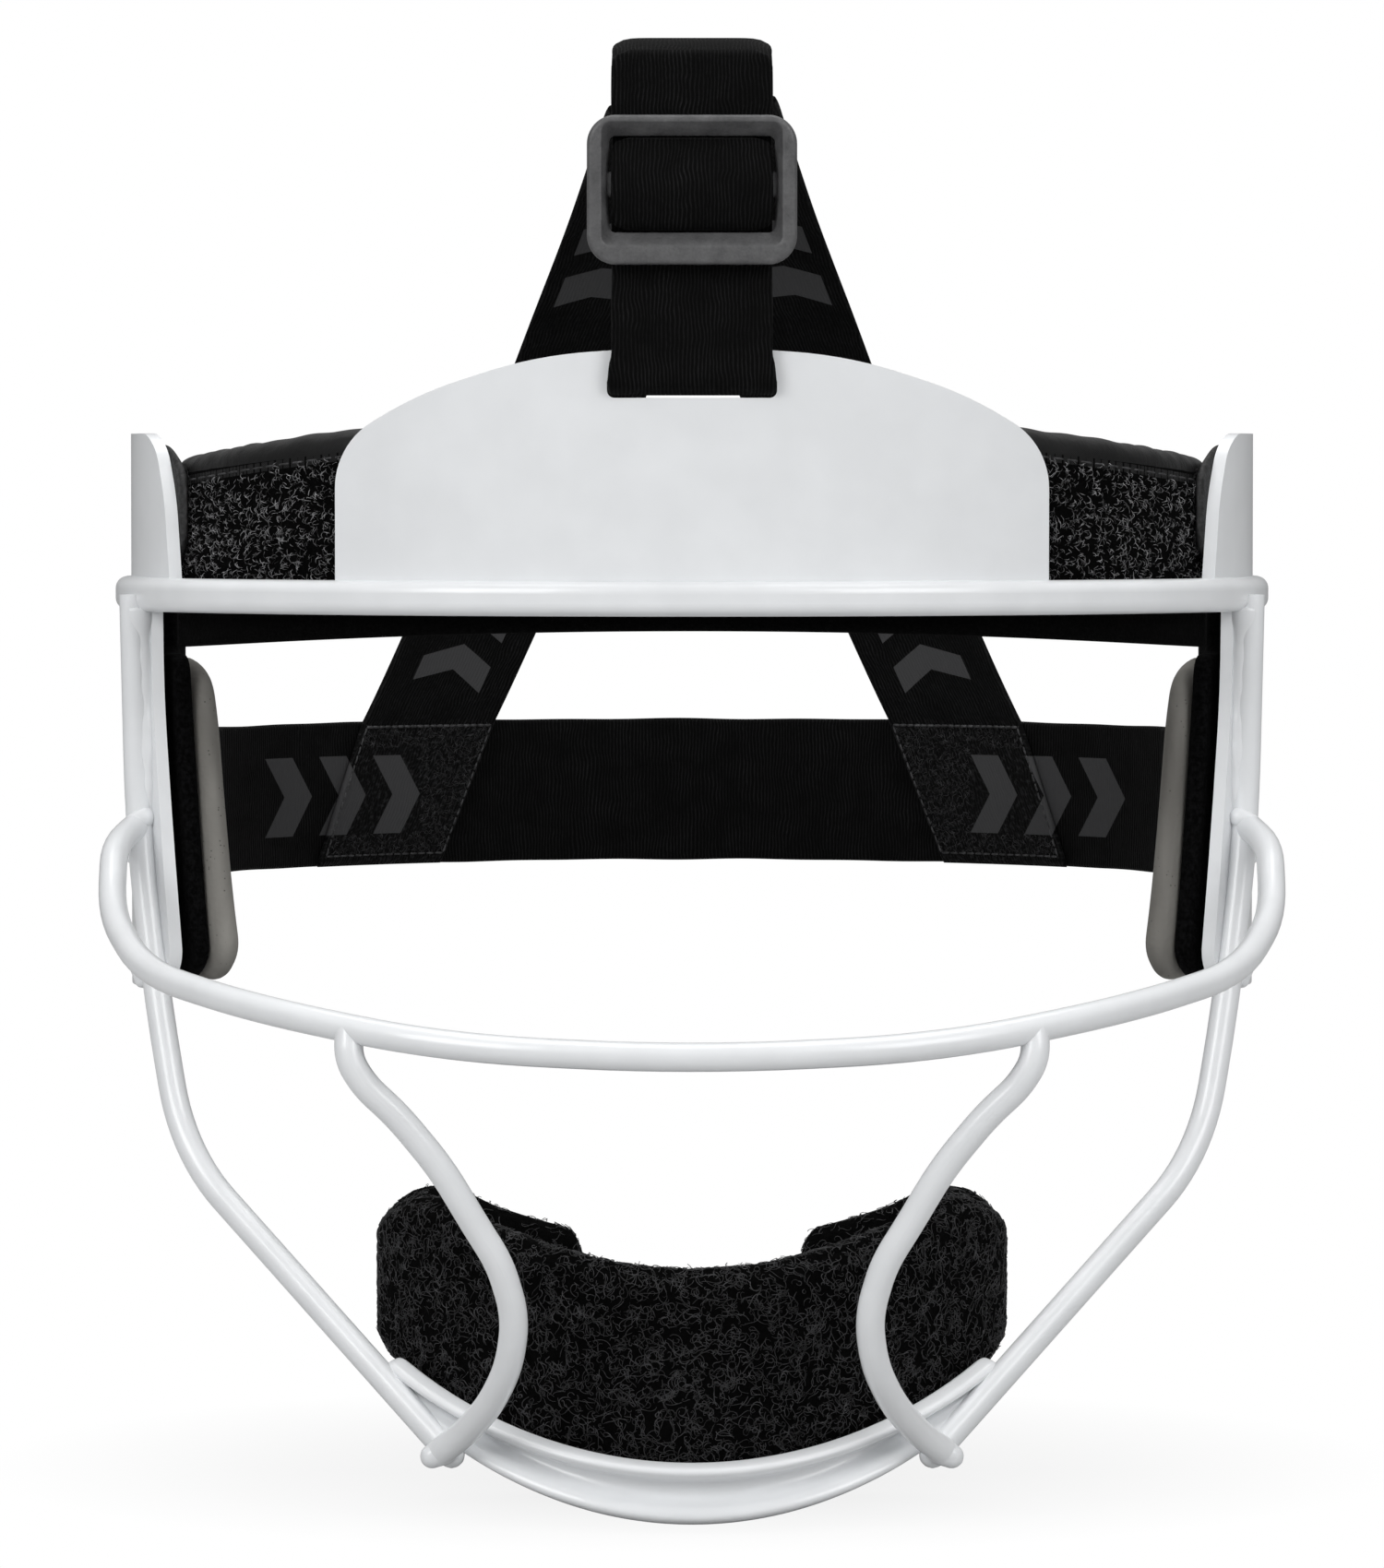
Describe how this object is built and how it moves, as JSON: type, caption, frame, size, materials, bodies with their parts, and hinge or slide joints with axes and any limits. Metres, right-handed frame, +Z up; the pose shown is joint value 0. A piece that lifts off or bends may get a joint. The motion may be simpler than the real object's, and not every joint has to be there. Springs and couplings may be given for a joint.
{
  "type": "softball face guard",
  "caption": "Softball fielder's face guard: a coated wire cage with forehead and cheek plates, padded forehead, sides and chin, and an elastic head harness with a slider.",
  "frame": {"origin": "middle of the forehead pad's inner face, level with the middle of the brow bar", "axes": "+Z up, -Y out of the front of the face guard, +X to the wearer's left"},
  "size_m": [0.1932, 0.2351, 0.2357],
  "materials": {
    "coated_steel": "glossy white powder coating on steel",
    "hook_tape": "black hook tape",
    "elastic": "knitted black elastic with grey chevrons",
    "slider_plastic": "charcoal moulded plastic",
    "pad_foam": "foam under black fabric",
    "loop_fabric": "black brushed loop fabric",
    "satin_binding": "black satin binding tape",
    "grey_foam": "dark grey moisture-wicking foam",
    "terry": "black terry over foam"
  },
  "bodies": {
    "frame": {"brow_bar": "coated_steel", "cheek_bar": "coated_steel", "side_bar_left": "coated_steel", "side_bar_right": "coated_steel", "mouth_bar_left": "coated_steel", "mouth_bar_right": "coated_steel", "forehead_plate": "coated_steel", "temple_plate_left": "coated_steel", "temple_plate_right": "coated_steel", "cheek_plate_left": "coated_steel", "cheek_plate_right": "coated_steel", "chin_plate": "coated_steel", "forehead_hook_strip": "hook_tape", "temple_hook_strip_left": "hook_tape", "temple_hook_strip_right": "hook_tape", "cheek_hook_strip_left": "hook_tape", "cheek_hook_strip_right": "hook_tape", "chin_hook_strip": "hook_tape", "rear_hook_tab_left": "hook_tape", "rear_hook_tab_right": "hook_tape", "top_strap": "elastic", "v_strap_left": "elastic", "v_strap_right": "elastic", "rear_strap": "elastic"},
    "slider": {"strap_slider": "slider_plastic", "strap_crest": "elastic"},
    "forehead_pad": {"forehead_pad_foam": "pad_foam", "forehead_pad_loop_face": "loop_fabric", "forehead_pad_binding": "satin_binding"},
    "side_pad_left": {"side_pad_backing_left": "loop_fabric", "side_pad_foam_left": "grey_foam"},
    "side_pad_right": {"side_pad_backing_right": "loop_fabric", "side_pad_foam_right": "grey_foam"},
    "chin_pad": {"chin_pad_cup": "terry"}
  },
  "joints": [
    {"name": "strap_adjustment", "type": "slide", "parent": "frame", "child": "slider", "axis": [0, 0, 1], "range_m": [-0.008, 0.01]},
    {"name": "forehead_pad_removal", "type": "slide", "parent": "frame", "child": "forehead_pad", "axis": [0, 1, 0], "range_m": [0, 0.005]},
    {"name": "side_pad_removal_left", "type": "slide", "parent": "frame", "child": "side_pad_left", "axis": [-1, 0, 0], "range_m": [0, 0.008]},
    {"name": "side_pad_removal_right", "type": "slide", "parent": "frame", "child": "side_pad_right", "axis": [1, 0, 0], "range_m": [0, 0.008]},
    {"name": "chin_pad_removal", "type": "slide", "parent": "frame", "child": "chin_pad", "axis": [0, 0, 1], "range_m": [0, 0.008]}
  ]
}
